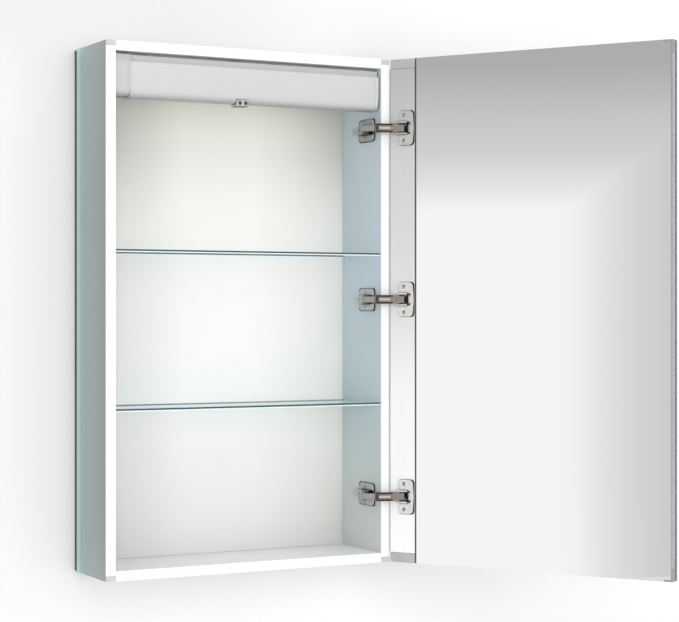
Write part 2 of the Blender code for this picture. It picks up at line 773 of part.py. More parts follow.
def flange_section():
    """Face of the cup's flange: straight beside the hinge edge, slightly bowed on its far side."""
    left = door_point(FLANGE_LEFT, 0)[0]
    right = door_point(FLANGE_RIGHT, 0)[0]
    tall = FLANGE_HALF_HEIGHT
    small = 0.0035
    large = 0.0070
    bow = 0.0012
    points = arc((left - small, -tall + small), small, 0, -90, 4)
    points += arc((right + bow + large, -tall + large), large, 270, 200, 5)
    points.append((right, 0))
    points += arc((right + bow + large, tall - large), large, 160, 90, 5)
    points += arc((left - small, tall - small), small, 90, 0, 4)
    return points


def add_hinge_cup(level, height, door):
    """Block let into the stile, with a screw flange, a pocket for the link and two pin holes."""
    place = empty(f"cup_place_{level}", (0, 0, height), parent=door)
    face = door_point(0, 0)[1]
    flange_low = face + GAP
    flange_high = flange_low + CUP_FLANGE
    cup = outline_xz(f"hinge_cup_{level}", flange_section(), flange_low, flange_high, "nickel", place)
    tall = CUP_HALF_HEIGHT
    block = box(
        f"cup_block_{level}",
        (door_point(CUP_RIGHT, 0)[0], face - CUP_DEPTH, -tall),
        (door_point(CUP_LEFT, 0)[0], flange_high - 0.0002, tall),
        None,
        place,
    )
    join(cup, block)
    for index, side in enumerate((-1, 1)):
        z_low, z_high = sorted((side * (POCKET_HALF + 0.0004), side * 0.0096))
        low = (door_point(0.0300, 0)[0], flange_high - 0.0004, z_low)
        high = (door_point(0.0105, 0)[0], flange_high + 0.0024, z_high)
        join(cup, box(f"cup_lip_{level}_{index}", low, high, None, place))
    pocket_low = (door_point(POCKET_RIGHT, 0)[0], face - CUP_DEPTH + 0.0018, -POCKET_HALF)
    pocket_high = (door_point(0.0100, 0)[0], flange_high + 0.01, POCKET_HALF)
    pocket = box(f"cup_pocket_{level}", pocket_low, pocket_high, None, place)
    pin_x, pin_y = door_point(*CUP_PIN)
    length = 2 * (CUP_PIN_REACH + 0.0006)
    hole = rod(f"cup_pin_hole_{level}", (pin_x, pin_y, 0), PIN_HOLE, length, "Z", None, place, sides=16)
    cut(cup, pocket, hole)
    round_edges(cup, 0.0004, 1)


def protector_notch(level, low, high, door):
    notch_along = (DOOR_WIDTH - PROTECTOR_LENGTH - GAP, DOOR_WIDTH + 0.01)
    depth = (-0.01, DOOR_THICKNESS - PANE)
    return door_box(f"protector_notch_{level}", notch_along, depth, (low, high), None, door)


def add_corner_protector(level, up, door):
    """L-shaped corner cover: one leg along the door's top or bottom, one down its free edge."""
    edge = DOOR_HALF_HEIGHT
    low, high = sorted((up * (edge - PROTECTOR_LEG), up * edge))
    along = (DOOR_WIDTH - PROTECTOR_LENGTH, DOOR_WIDTH)
    through = (0, DOOR_THICKNESS - PANE - GAP)
    protector = door_box(f"corner_protector_{level}", along, through, (low, high), "grey_plastic", door)
    low, high = sorted((up * (edge - PROTECTOR_HEIGHT), up * (edge - 0.001)))
    leg_along = (DOOR_WIDTH - EDGE_STRIP, DOOR_WIDTH)
    leg = door_box(f"protector_leg_{level}", leg_along, through, (low, high), None, door)
    join(protector, leg)
    notch_low, notch_high = sorted((up * (edge - PROTECTOR_LEG - GAP), up * (edge + 0.01)))
    return protector_notch(level, notch_low, notch_high, door)


def add_door():
    door = empty("door_axis", (DOOR_AXIS[0], DOOR_AXIS[1], 0), OPENING_ANGLE)
    edge = DOOR_HALF_HEIGHT
    full = (-edge, edge)
    pane_end = DOOR_WIDTH - EDGE_STRIP - GAP
    inner = STILE_WIDTH + 0.001
    back_of_core = DOOR_THICKNESS - PANE - GAP
    outer_depth = (DOOR_THICKNESS - PANE, DOOR_THICKNESS)
    door_box("door_front_mirror", (0, DOOR_WIDTH), outer_depth, full, "mirror", door)
    back_pane = door_box("door_back_mirror", (inner, pane_end), (0, PANE), full, "mirror", door)
    core_depth = (PANE + GAP, back_of_core)
    core = door_box("door_core", (inner, pane_end), core_depth, full, "door_core", door)
    stile_reach = edge - STILE_CAP
    stile = door_box(
        "door_hinge_stile",
        (0, STILE_WIDTH),
        (0, back_of_core),
        (-stile_reach, stile_reach),
        "satin_aluminium",
        door,
    )
    for level, height in HINGE_Z.items():
        tall = CUP_HALF_HEIGHT + GAP
        window = (height - tall, height + tall)
        opening = (CUP_LEFT - GAP, CUP_RIGHT + GAP)
        cut(stile, door_box(f"cup_window_{level}", opening, (-0.01, 0.02), window, None, door))
        add_hinge_cup(level, height, door)
    strip_reach = edge - PROTECTOR_HEIGHT - GAP
    door_box(
        "door_edge_strip",
        (DOOR_WIDTH - EDGE_STRIP, DOOR_WIDTH),
        (0, back_of_core),
        (-strip_reach, strip_reach),
        "satin_aluminium",
        door,
    )
    for level, up in (("top", 1), ("bottom", -1)):
        low, high = sorted((up * (stile_reach + GAP), up * edge))
        cap = door_box(
            f"stile_cap_{level}", (0, STILE_WIDTH), (0, back_of_core), (low, high), "grey_plastic", door
        )
        round_edges(cap, 0.0006, 1)
        notch = add_corner_protector(level, up, door)
        for pane in (back_pane, core):
            cut(pane, notch)


add_body()
add_shelves()
add_lamp()
add_cabinet_hinges()
add_door()
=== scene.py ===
import math

import bmesh
import bpy
from mathutils import Matrix, Vector


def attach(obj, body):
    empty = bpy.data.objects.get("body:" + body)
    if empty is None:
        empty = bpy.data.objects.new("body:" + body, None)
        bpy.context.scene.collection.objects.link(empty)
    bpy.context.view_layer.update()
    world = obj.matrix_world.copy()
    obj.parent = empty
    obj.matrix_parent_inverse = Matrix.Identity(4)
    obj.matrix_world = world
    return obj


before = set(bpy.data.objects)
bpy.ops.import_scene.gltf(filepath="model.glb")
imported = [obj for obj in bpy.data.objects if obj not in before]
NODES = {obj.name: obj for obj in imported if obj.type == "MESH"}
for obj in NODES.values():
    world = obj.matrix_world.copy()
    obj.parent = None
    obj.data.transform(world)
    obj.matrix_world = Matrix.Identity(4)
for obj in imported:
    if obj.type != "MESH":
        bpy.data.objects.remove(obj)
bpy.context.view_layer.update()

DOOR_TURN = math.radians(-57.5)  # direction of the open door, seen from above
DOOR_RIGHT = Vector((math.cos(DOOR_TURN), math.sin(DOOR_TURN), 0))
DOOR_OUT = Vector((-math.sin(DOOR_TURN), math.cos(DOOR_TURN), 0))  # from the inner face outwards
HINGE_EDGE = Vector((0.2286, -0.130, 0))  # inner corner of the open door, beside the frame
HINGE_HEIGHTS = {"top": 0.276, "middle": 0.017, "bottom": -0.281}


# ---------------------------------------------------------------- node helpers

NOISE_LOW, NOISE_HIGH = 0.3, 0.7  # nearly all values of a noise texture lie between these


class Nodes:
    """A node tree with short calls that add nodes to it and return their outputs."""

    def __init__(self, tree):
        self.tree = tree

    def node(self, kind, **props):
        made = self.tree.nodes.new(kind)
        for key, value in props.items():
            setattr(made, key, value)
        return made

    def link(self, source, target):
        self.tree.links.new(source, target)

    def feed(self, socket, value):
        """Links an output to a socket, or sets the socket to a number or a colour."""
        if isinstance(value, tuple):
            socket.default_value = (*value, 1)
        elif isinstance(value, (int, float)):
            socket.default_value = value
        else:
            self.link(value, socket)

    def coords(self, output="Object"):
        return self.node("ShaderNodeTexCoord").outputs[output]

    def stretched(self, scale):
        """Object coordinates, each multiplied by its own factor."""
        mapping = self.node("ShaderNodeMapping")
        mapping.inputs["Scale"].default_value = scale
        self.link(self.coords(), mapping.inputs["Vector"])
        return mapping.outputs["Vector"]

    def noise(self, scale, detail=4.0, rough=0.5, vector=None):
        made = self.node("ShaderNodeTexNoise")
        made.inputs["Scale"].default_value = scale
        made.inputs["Detail"].default_value = detail
        made.inputs["Roughness"].default_value = rough
        self.link(vector or self.coords(), made.inputs["Vector"])
        return made.outputs["Fac"]

    def ramp(self, source, *stops):
        made = self.node("ShaderNodeValToRGB")
        ramp = made.color_ramp
        while len(ramp.elements) < len(stops):
            ramp.elements.new(0.5)
        for element, (place, colour) in zip(ramp.elements, stops):
            element.position = place
            if not isinstance(colour, tuple):
                colour = (colour,) * 3
            element.color = (*colour, 1)
        self.link(source, made.inputs["Fac"])
        return made.outputs["Color"]

    def math(self, operation, a, b=None):
        made = self.node("ShaderNodeMath", operation=operation)
        self.feed(made.inputs[0], a)
        if b is not None:
            self.feed(made.inputs[1], b)
        return made.outputs[0]

    def range(self, source, low, high, to_low=0.0, to_high=1.0, smooth=False):
        made = self.node("ShaderNodeMapRange")
        if smooth:
            made.interpolation_type = "SMOOTHSTEP"
        for key, value in (("From Min", low), ("From Max", high), ("To Min", to_low), ("To Max", to_high)):
            made.inputs[key].default_value = value
        self.link(source, made.inputs["Value"])
        return made.outputs["Result"]

    def mix(self, factor, a, b):
        made = self.node("ShaderNodeMix", data_type="RGBA")
        for index, value in ((0, factor), (6, a), (7, b)):
            self.feed(made.inputs[index], value)
        return made.outputs[2]

    def split(self, vector):
        made = self.node("ShaderNodeSeparateXYZ")
        self.link(vector, made.inputs[0])
        return made.outputs

    def dot(self, vector, direction):
        made = self.node("ShaderNodeVectorMath", operation="DOT_PRODUCT")
        self.link(vector, made.inputs[0])
        made.inputs[1].default_value = direction
        return made.outputs["Value"]

    def scaled(self, colour, factor):
        made = self.node("ShaderNodeVectorMath", operation="SCALE")
        self.link(colour, made.inputs[0])
        self.link(factor, made.inputs["Scale"])
        return made.outputs[0]

    def times(self, a, b):
        made = self.node("ShaderNodeVectorMath", operation="MULTIPLY")
        self.link(a, made.inputs[0])
        self.link(b, made.inputs[1])
        return made.outputs[0]

    def cloud(self, scale, low, high, detail=4.0, rough=0.5, vector=None):
        """A value that wanders between two limits."""
        return self.range(self.noise(scale, detail, rough, vector), NOISE_LOW, NOISE_HIGH, low, high)

    def mottle(self, scale, dark, light, detail=4.0):
        """A colour that wanders between two colours."""
        return self.ramp(self.noise(scale, detail), (NOISE_LOW, dark), (NOISE_HIGH, light))


class Shader(Nodes):
    """A material with one Principled shader."""

    def __init__(self, name, **fixed):
        self.material = bpy.data.materials.new(name)
        self.material.use_nodes = True
        super().__init__(self.material.node_tree)
        self.bsdf = self.tree.nodes["Principled BSDF"]
        for key, value in fixed.items():
            self.to(key.replace("_", " "), value)

    def to(self, socket, value):
        self.feed(self.bsdf.inputs[socket], value)

    def bump(self, height, strength, distance):
        made = self.node("ShaderNodeBump")
        made.inputs["Strength"].default_value = strength
        made.inputs["Distance"].default_value = distance
        self.link(height, made.inputs["Height"])
        self.to("Normal", made.outputs["Normal"])


def dress(material, *names):
    for name in names:
        obj = NODES[name]
        obj.data.materials.clear()
        obj.data.materials.append(material)


# ---------------------------------------------------------------- materials


def grey(level, tint=(1.0, 1.0, 1.0)):
    return tuple(level * part for part in tint)


# Colours and where they lie: from a lower end to an upper one, or from the front to the rear. They are
# painted shade, light and reflection.
# Painted shade on the cabinet's inner sides, from the lower end to the upper one.
WALL_TONES = (
    (0.0, (0.60, 0.62, 0.61)),
    (0.14, (0.52, 0.575, 0.57)),
    (0.32, (0.50, 0.58, 0.615)),
    (0.60, (0.49, 0.57, 0.635)),
    (0.80, (0.52, 0.605, 0.665)),
    (1.0, (0.60, 0.70, 0.76)),
)
# Painted shade on the cabinet's floor, darker towards the rear.
FLOOR_TONES = ((0.0, (0.90, 0.90, 0.90)), (0.5, (0.90, 0.90, 0.90)), (1.0, (0.84, 0.84, 0.84)))
# Painted reflection in the side mirrors, from their front to their rear.
SIDE_TONES = (
    (0.0, (0.29, 0.315, 0.315)),
    (0.30, (0.325, 0.365, 0.375)),
    (0.62, (0.37, 0.42, 0.43)),
    (0.80, (0.38, 0.50, 0.485)),
    (0.87, (0.52, 0.74, 0.70)),
    (1.0, (0.54, 0.78, 0.74)),
)
# Painted light on the door's hinge stile, lighter towards its lower end.
STILE_TONES = (
    (0.0, grey(0.94)),
    (0.35, grey(0.89)),
    (0.50, grey(0.75)),
    (0.66, grey(0.69)),
    (0.80, grey(0.63)),
    (0.90, grey(0.54)),
    (1.0, grey(0.44)),
)
# Painted shade on the lamp's cover, darkest at its lower edge.
VALANCE_TONES = (
    (0.0, grey(0.36)),
    (0.10, grey(0.50)),
    (0.20, grey(0.56)),
    (0.80, grey(0.575)),
    (0.86, grey(0.52)),
    (1.0, grey(0.48)),
)
# Painted light and shade on the back panel, from the floor up to the top.
BACK_TONES = (
    (0.0, grey(0.70)),
    (0.06, grey(0.755)),
    (0.20, grey(0.81)),
    (0.29, grey(0.90, (1.0, 1.0, 0.99))),
    (0.36, grey(0.87, (1.0, 1.0, 0.99))),
    (0.45, grey(0.86, (1.0, 1.0, 0.99))),
    (0.62, grey(0.86, (1.0, 1.0, 0.985))),
    (0.72, grey(0.85, (1.0, 1.0, 0.975))),
    (0.83, grey(0.78, (1.0, 1.0, 0.95))),
    (0.91, grey(0.86, (1.0, 1.0, 0.93))),
    (1.0, grey(0.96, (1.0, 1.0, 0.91))),
)

FACING = 0.5  # a face whose normal has more than this of an axis looks that way
RIM_LIMIT = 0.7  # a pane's face whose normal has less than this of the pane's own is its rim
INTERIOR = (-0.1262, -0.1255)  # the interior's painted shade sets in between these depths, behind the frame's front
SHELF_LINES = (0.0858, -0.1402)  # heights of the dark lines in the shelves' front edges
SHELF_LINE_HALF = 0.0013


def white_coat():
    """White powder coat; on the inner sides and the floor, the shade of the interior is painted into the
    colour.
    """
    s = Shader("white_coat")
    place = s.split(s.coords())
    normal = s.split(s.coords("Normal"))
    facing_in = s.math("LESS_THAN", s.math("MULTIPLY", place[0], normal[0]), -0.1)
    deep = s.range(place[1], *INTERIOR)
    inner_side = s.math("MULTIPLY", facing_in, deep)
    coat = s.mottle(9.0, (0.86, 0.87, 0.875), (0.885, 0.89, 0.89), 3.0)
    # Painted shade of the interior on the inner sides, graded by height.
    painted_side_shade = s.scaled(s.ramp(s.range(place[2], -0.37, 0.37), *WALL_TONES), s.cloud(7.0, 0.97, 1.03, 2.0))
    facing_up = s.math("GREATER_THAN", normal[2], FACING)
    low_up = s.math("MULTIPLY", facing_up, s.math("LESS_THAN", place[2], 0.0))
    inner_floor = s.math("MULTIPLY", low_up, deep)
    # Painted shade on the floor, darker towards the rear.
    painted_floor_shade = s.ramp(s.range(place[1], -0.127, -0.004), *FLOOR_TONES)
    s.to("Base Color", s.mix(inner_floor, s.mix(inner_side, coat, painted_side_shade), painted_floor_shade))
    s.to("Roughness", s.cloud(60.0, 0.34, 0.46, 3.0))
    s.bump(s.noise(2600.0, 2.0), 0.06, 0.0004)
    return s.material


def moulded(name, colour, grain=3000.0, shine=0.42):
    """Moulded plastic with a fine eroded grain."""
    s = Shader(name)
    dark = tuple(part * 0.93 for part in colour)
    light = tuple(min(1, part * 1.05) for part in colour)
    s.to("Base Color", s.mottle(45.0, dark, light))
    s.to("Roughness", s.cloud(180.0, shine - 0.06, shine + 0.08, 3.0))
    s.bump(s.noise(grain, 2.0), 0.12, 0.0003)
    return s.material


def side_mirror():
    """Tinted mirror pane with a painted reflection graded from front to rear; its polished rim shows the
    glass's green, and its bevelled rear border that green darkened as painted shade.
    """
    s = Shader("side_mirror")
    depth = s.split(s.coords())[1]
    rim = s.math("LESS_THAN", s.math("ABSOLUTE", s.split(s.coords("Normal"))[0]), RIM_LIMIT)
    # Painted shade: the bevelled rear border is darkened.
    bevel = s.math("GREATER_THAN", depth, -0.0075)
    # Painted reflection on the face, graded from front to rear.
    face = s.ramp(s.range(depth, -0.124, -0.001), *SIDE_TONES)
    s.to("Base Color", s.mix(bevel, s.mix(rim, face, (0.10, 0.17, 0.16)), (0.115, 0.145, 0.14)))
    s.to("Metallic", s.math("SUBTRACT", 1.0, rim))
    s.to("Roughness", s.cloud(25.0, 0.03, 0.06, 3.0))
    s.bump(s.noise(4.0, 1.0), 0.02, 0.002)
    return s.material


def mirror(name, normal_axis):
    """Silvered glass: a faint ripple on its faces and blue-green polished edges."""
    s = Shader(name)
    across = s.math("ABSOLUTE", s.dot(s.coords("Normal"), normal_axis))
    rim = s.math("LESS_THAN", across, RIM_LIMIT)
    s.to("Base Color", s.mix(rim, (0.965, 0.968, 0.968), (0.16, 0.30, 0.29)))
    s.to("Metallic", s.math("SUBTRACT", 1.0, rim))
    s.to("Roughness", s.cloud(6.0, 0.004, 0.02, 3.0))
    s.bump(s.noise(3.0, 1.0), 0.01, 0.002)
    return s.material


def back_coat():
    """Matt off-white coat with painted shade, toned down towards the top, the floor and the two sides."""
    s = Shader("back_coat")
    place = s.split(s.coords())
    # Painted light and shade, graded by height.
    tone = s.ramp(s.range(place[2], -0.367, 0.367), *BACK_TONES)
    leftwards = s.range(place[0], -0.06, -0.215)
    rightwards = s.range(place[0], 0.06, 0.215, 0.0, 0.72)
    off_middle = s.math("MAXIMUM", leftwards, rightwards)
    high = s.range(place[2], 0.12, 0.26, 0.10, 0.36)
    # Painted shade towards the two sides, deepest near the top.
    corner_shade = s.math("SUBTRACT", 1.0, s.math("MULTIPLY", off_middle, high))
    toned = s.scaled(tone, s.math("MULTIPLY", corner_shade, s.cloud(5.0, 0.985, 1.015, 5.0, 0.6)))
    # Painted shade tint, warmer towards the sides.
    corner_shade_tint = s.mix(off_middle, (1.0, 0.99, 0.975), (0.95, 0.94, 0.90))
    outer_face = s.math("GREATER_THAN", s.split(s.coords("Normal"))[1], FACING)
    s.to("Base Color", s.mix(outer_face, s.times(toned, corner_shade_tint), (0.80, 0.80, 0.78)))
    s.to("Roughness", s.cloud(30.0, 0.5, 0.62, 3.0))
    s.bump(s.noise(1800.0, 3.0), 0.08, 0.0003)
    return s.material


def shelf_glass():
    """Clear glass; each front edge is a dark blue-green line over a pale one, the pale one a painted
    highlight.
    """
    s = Shader("shelf_glass", IOR=1.5)
    rim = s.math("LESS_THAN", s.split(s.coords("Normal"))[1], -0.6)
    place = s.split(s.coords())
    offsets = [s.math("ABSOLUTE", s.math("SUBTRACT", place[2], line)) for line in SHELF_LINES]
    on_line = s.math("LESS_THAN", s.math("MINIMUM", *offsets), SHELF_LINE_HALF)
    # The pale edge colour is a painted highlight; the dark line is the glass's own green.
    edge = s.mix(on_line, (0.86, 0.93, 0.94), (0.035, 0.085, 0.10))
    cloud = s.mottle(8.0, (0.60, 0.84, 0.88), (0.66, 0.88, 0.91), 2.0)
    s.to("Base Color", s.mix(rim, cloud, edge))
    # Painted reflection: the lower shelf grows less clear towards the right.
    low_shelf = s.math("LESS_THAN", place[2], 0.0)
    painted_reflection = s.math("MULTIPLY", low_shelf, s.range(place[0], -0.21, 0.21, 0.10, 0.30))
    s.to("Alpha", s.math("MAXIMUM", rim, s.math("ADD", 0.13, painted_reflection)))
    s.to("Roughness", s.cloud(40.0, 0.01, 0.03, 3.0))
    return s.material


SHEEN_AXIS = (-0.35, -0.25, 0.90)  # painted sheen: plated faces are painted lighter and darker as they turn from this direction
SHEEN = (
    (0.0, 0.03),
    (0.28, 0.14),
    (0.46, 0.42),
    (0.66, 0.84),
    (0.74, 0.98),
    (0.82, 0.35),
    (0.90, 0.28),
    (1.0, 1.0),
)


def metal(name, dark, light, rough, scale, streak=(1, 1, 1), recess=None):
    """Plated metal: fine streaks, small roughness changes, a painted sheen by the way each face turns, and
    painted shade where faces meet inwards.
    """
    s = Shader(name, Metallic=1.0)
    lines = s.noise(scale, 5.0, 0.6, s.stretched(streak))
    painted_sheen = s.ramp(s.range(s.dot(s.coords("Normal"), SHEEN_AXIS), -1.0, 1.0), *SHEEN)
    tone = s.scaled(s.mix(painted_sheen, dark, light), s.range(lines, NOISE_LOW, NOISE_HIGH, 0.90, 1.10))
    # Painted shade: where faces meet inwards, the colour darkens towards near-black.
    if recess:
        shade = s.node("ShaderNodeAmbientOcclusion", samples=12)
        shade.inputs["Distance"].default_value = recess
        opened = s.ramp(shade.outputs["AO"], (0.45, 0.10), (0.95, 1.0))
        tone = s.mix(opened, tuple(part * 0.06 for part in dark), tone)
    s.to("Base Color", tone)
    s.to("Roughness", s.cloud(90.0, *rough))
    s.bump(lines, 0.05, 0.0002)
    return s.material


def stile_anodised():
    """Pale satin anodising: fine lines along the extrusion, with painted light that makes it lighter towards
    the lower end.
    """
    s = Shader("stile_anodised", Metallic=0.25)
    height = s.split(s.coords())[2]
    lines = s.cloud(900.0, 0.985, 1.015, 3.0, 0.5, s.stretched((1, 1, 0.01)))
    s.to("Base Color", s.scaled(s.ramp(s.range(height, -0.38, 0.38), *STILE_TONES), lines))
    s.to("Roughness", s.cloud(120.0, 0.42, 0.5, 3.0, 0.5, s.stretched((1, 1, 0.05))))
    return s.material


def lamp_coat():
    """White coat of the lamp's cover, with painted shade that darkens it towards its lower edge; darker on
    the left cap.
    """
    s = Shader("lamp_coat")
    place = s.split(s.coords())
    cap_shade = s.range(place[0], -0.195, -0.185, 0.90, 1.0)
    shade = s.math("MULTIPLY", s.cloud(5.0, 0.99, 1.01, 2.0), cap_shade)
    s.to("Base Color", s.scaled(s.ramp(s.range(place[2], 0.302, 0.3625), *VALANCE_TONES), shade))
    s.to("Roughness", s.cloud(20.0, 0.36, 0.40, 2.0))
    return s.material


def diffuser():
    """Milky plastic that glows faintly."""
    s = Shader("diffuser", Emission_Strength=1.2, Emission_Color=(1.0, 0.97, 0.90))
    s.to("Base Color", s.mottle(80.0, (0.86, 0.86, 0.83), (0.9, 0.9, 0.88)))
    s.to("Roughness", s.cloud(120.0, 0.45, 0.6))
    s.bump(s.noise(1500.0, 1.0), 0.1, 0.0003)
    return s.material


def clear_plastic():
    s = Shader("clear_plastic", IOR=1.46, Alpha=0.45)
    s.to("Base Color", s.mottle(300.0, (0.80, 0.85, 0.87), (0.86, 0.90, 0.91)))
    s.to("Roughness", s.cloud(500.0, 0.2, 0.3))
    return s.material


def rubber():
    s = Shader("rubber")
    s.to("Base Color", s.mottle(200.0, (0.02, 0.02, 0.02), (0.045, 0.045, 0.045)))
    s.to("Roughness", s.cloud(400.0, 0.6, 0.8))
    s.bump(s.noise(2500.0, 3.0), 0.2, 0.0003)
    return s.material


def lens():
    s = Shader("lens", Coat_Weight=1.0, Coat_Roughness=0.02)
    s.to("Base Color", s.mottle(900.0, (0.012, 0.013, 0.016), (0.05, 0.055, 0.07)))
    s.to("Roughness", s.cloud(500.0, 0.05, 0.15))
    return s.material


ENDS = ("top", "bottom")
SIDES = ("left", "right")
ALONG_BAR = (1, 1, 0.03)  # streaks that run along an upright or a bar
SATIN_ROUGH = (0.26, 0.36)


def at_hinges(*kinds):
    """Names of one kind of piece, or of several, at the three hinges."""
    return [f"{kind}_{level}" for kind in kinds for level in HINGE_HEIGHTS]


dress(white_coat(), "side_profile_left", "side_profile_right", "top_panel", "bottom_panel")
dress(moulded("corner_grey", (0.58, 0.57, 0.56)), *[f"corner_block_{e}_{s}" for e in ENDS for s in SIDES])
dress(side_mirror(), "side_mirror_left", "side_mirror_right")
dress(mirror("door_mirror", tuple(DOOR_OUT)), "door_front_mirror", "door_back_mirror")
dress(back_coat(), "back_panel")
dress(shelf_glass(), "shelf_upper", "shelf_lower")
dress(clear_plastic(), *[name for name in NODES if name.startswith("peg_")])

nickel = metal("nickel", (0.04, 0.04, 0.04), (0.88, 0.87, 0.86), (0.14, 0.24), 420.0, recess=0.004)
dress(nickel, "downlight_housing", *at_hinges("hinge_cup"))
# A darker copy of the nickel, for the plates, arms and cranks.
dark_nickel = metal("dark_nickel", (0.02, 0.02, 0.02), (0.53, 0.54, 0.52), (0.16, 0.26), 420.0, recess=0.005)
dress(dark_nickel, *at_hinges("hinge_plate", "hinge_arm", "hinge_crank"))
# The links are nickel-plated steel; their warm brown is a painted reflection of warm surroundings.
warm_reflection_tones = ((0.03, 0.025, 0.02), (0.36, 0.30, 0.255))
warm_reflection_nickel = metal("bronze_nickel", *warm_reflection_tones, (0.16, 0.28), 700.0, (0.25, 0.25, 1), 0.004)
dress(warm_reflection_nickel, *at_hinges("hinge_link"))
zinc = metal("zinc", (0.08, 0.08, 0.085), (0.58, 0.59, 0.60), (0.24, 0.36), 260.0, recess=0.004)
dress(zinc, "hanger_plate_left", "hanger_plate_right", *at_hinges("clip_lever"))
satin = metal("satin_aluminium", (0.50, 0.50, 0.51), (0.84, 0.84, 0.85), SATIN_ROUGH, 900.0, ALONG_BAR)
dress(satin, "light_bar")
edge_tone = metal("edge_anodised", (0.36, 0.36, 0.40), (0.62, 0.62, 0.68), SATIN_ROUGH, 900.0, ALONG_BAR)
dress(edge_tone, "door_edge_strip")
dress(stile_anodised(), "door_hinge_stile")
valance_white = lamp_coat()
dress(valance_white, "light_valance", "valance_cap_left", "valance_cap_right")
dress(diffuser(), "light_diffuser")
dress(rubber(), "cable_grommet")
dress(lens(), "downlight_lens_left", "downlight_lens_right")
dress(moulded("core_grey", (0.62, 0.62, 0.61), 900.0, 0.6), "door_core")
dress(moulded("cap_grey", (0.42, 0.42, 0.43)), "stile_cap_top", "stile_cap_bottom", "lamp_driver")
dress(moulded("protector_grey", (0.30, 0.30, 0.31)), "corner_protector_top", "corner_protector_bottom")

SCREW_STEEL = metal("screw_steel", (0.06, 0.06, 0.06), (0.86, 0.85, 0.84), (0.14, 0.26), 900.0)
# Near-black painted shade, laid as thin dark slabs where shade falls: in screw recesses, under the flanges
# and the plates, and beside and across the links.
SHADE_DARK = moulded("shade_dark", (0.035, 0.033, 0.032), shine=0.5)
SEAL_GREY = moulded("seal_grey", (0.12, 0.12, 0.12), shine=0.6)
BEAD_GREY = moulded("bead_grey", (0.14, 0.14, 0.15), shine=0.6)
SEAM_DARK = moulded("seam_dark", (0.05, 0.055, 0.055), shine=0.6)
# Painted highlight and painted shade for the strips on the links.
LINK_HIGHLIGHT = metal("link_highlight", (0.10, 0.085, 0.07), (0.74, 0.66, 0.60), (0.16, 0.28), 700.0)
LINK_SHADE = metal("link_shade", (0.01, 0.009, 0.008), (0.06, 0.05, 0.045), (0.25, 0.40), 700.0)


# ---------------------------------------------------------------- small pieces on the bodies

TURNED_STEPS = 28
STRIP_STEPS = 24
CHAMFER_SHARE = 0.22  # of a flat piece's thickness
CROSS_TURN = 0.5  # of a screw's cross, in radians


def on_door(along, depth, height):
    """World place on the open door: distance from the hinge edge, depth below the inner face, height."""
    return HINGE_EDGE + DOOR_RIGHT * along + DOOR_OUT * depth + Vector((0, 0, height))


def made_object(name, bm, material):
    """An object with one material from a bmesh, linked to the scene."""
    mesh = bpy.data.meshes.new(name)
    bm.to_mesh(mesh)
    bm.free()
    mesh.materials.append(material)
    obj = bpy.data.objects.new(name, mesh)
    bpy.context.scene.collection.objects.link(obj)
    return obj


def piece(name, bm, material, body, place=None):
    """A riding piece from a bmesh in metres; place is a matrix that takes it into the world."""
    if place is not None:
        bmesh.ops.transform(bm, matrix=place, verts=bm.verts)
    bmesh.ops.recalc_face_normals(bm, faces=bm.faces)
    obj = made_object(name, bm, material)
    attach(obj, body)


def frame_at(place, x_axis, z_axis):
    """Matrix whose X and Z axes lie along the two given directions."""
    x_axis = Vector(x_axis).normalized()
    z_axis = Vector(z_axis).normalized()
    y_axis = z_axis.cross(x_axis)
    turn = Matrix((x_axis, y_axis, z_axis)).transposed().to_4x4()
    return Matrix.Translation(place) @ turn


def turned_bm(profile):
    """A closed body of revolution about Z from (radius, height) pairs, on the axis at both ends."""
    bm = bmesh.new()
    rings = []
    for radius, height in profile:
        if radius == 0:
            rings.append([bm.verts.new((0, 0, height))])
            continue
        angles = [2 * math.pi * i / TURNED_STEPS for i in range(TURNED_STEPS)]
        rings.append([bm.verts.new((radius * math.cos(a), radius * math.sin(a), height)) for a in angles])
    for low, high in zip(rings, rings[1:]):
        for i in range(TURNED_STEPS):
            j = (i + 1) % TURNED_STEPS
            corners = [low[i % len(low)], low[j % len(low)], high[j % len(high)], high[i % len(high)]]
            unique = list(dict.fromkeys(corners))
            if len(unique) > 2:
                bm.faces.new(unique)
    return bm


def slab_bm(outline, low, high):
    """A flat piece: an outline in X and Y between two heights, with slightly chamfered rims."""
    bm = bmesh.new()
    face = bm.faces.new([bm.verts.new((x, y, low)) for x, y in outline])
    grown = bmesh.ops.extrude_face_region(bm, geom=[face])
    moved = [v for v in grown["geom"] if isinstance(v, bmesh.types.BMVert)]
    bmesh.ops.translate(bm, verts=moved, vec=(0, 0, high - low))
    size = abs(high - low) * CHAMFER_SHARE
    bmesh.ops.bevel(bm, geom=bm.edges[:], offset=size, segments=1, affect="EDGES", clamp_overlap=True)
    return bm


def rounded_outline(half_x, half_y, radius, steps=5):
    """A rectangle about the origin with rounded corners."""
    points = []
    for quarter, (sx, sy) in enumerate(((1, 1), (-1, 1), (-1, -1), (1, -1))):
        for step in range(steps):
            angle = math.pi / 2 * (quarter + step / (steps - 1))
            x = sx * (half_x - radius) + radius * math.cos(angle)
            y = sy * (half_y - radius) + radius * math.sin(angle)
            points.append((x, y))
    return points


def cross_outline(reach, half):
    """A plus sign whose arms reach out from the origin."""
    arm = [(reach, half), (half, half), (half, reach)]
    left = [(-x, y) for x, y in reversed(arm)]
    below = [(-x, -y) for x, y in arm + left]
    return arm + left + below


